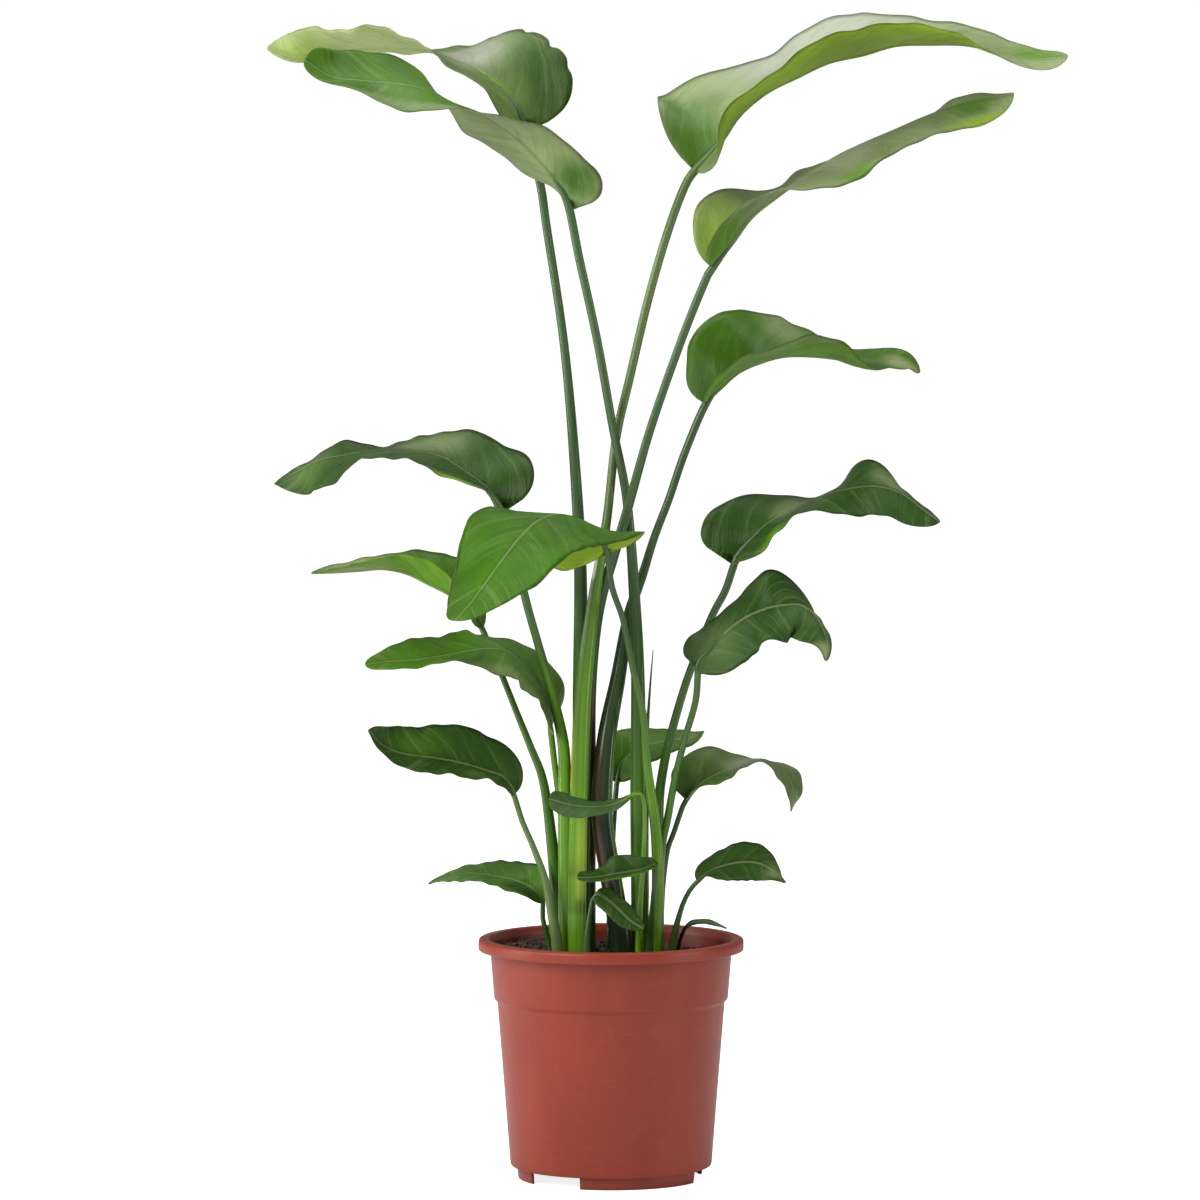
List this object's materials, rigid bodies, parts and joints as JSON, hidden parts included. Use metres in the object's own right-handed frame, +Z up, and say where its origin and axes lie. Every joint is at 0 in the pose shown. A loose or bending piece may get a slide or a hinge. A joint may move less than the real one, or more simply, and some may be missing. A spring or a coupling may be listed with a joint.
{
  "type": "potted bird of paradise plant",
  "caption": "Bird of paradise house plant with arching paddle leaves on tall stalks, rooted in soil in a round plastic nursery pot.",
  "frame": {"origin": "on the surface that the pot stands on, under the middle of the whole plant's box; the pot's axis is 45.4 mm to the left of it and 30.3 mm behind it", "axes": "+Z up along the pot's axis, +X to the right and +Y away from the viewer as the plant is seen from its front"},
  "size_m": [0.7233, 0.3605, 1.0523],
  "materials": {
    "pot_plastic": "satin",
    "soil": "matte",
    "leaf": "satin"
  },
  "bodies": {
    "root": {"pot": "pot_plastic", "soil": "soil", "leaf_01_top_left_back": "leaf", "leaf_02_top_left_front": "leaf", "leaf_03_top_right": "leaf", "leaf_04_upper_right": "leaf", "leaf_05_middle_right": "leaf", "leaf_06_right": "leaf", "leaf_07_lower_right": "leaf", "leaf_08_left": "leaf", "leaf_09_front": "leaf", "leaf_10_left_behind": "leaf", "leaf_11_lower_left": "leaf", "leaf_12_left_low": "leaf", "leaf_13_bottom_left": "leaf", "leaf_14_centre": "leaf", "leaf_15_centre_low": "leaf", "leaf_16_centre_lowest": "leaf", "leaf_17_right_low": "leaf", "leaf_18_bottom_right": "leaf", "leaf_19_over_rim": "leaf", "leaf_20_back": "leaf", "new_leaf_spear": "leaf"}
  },
  "joints": []
}
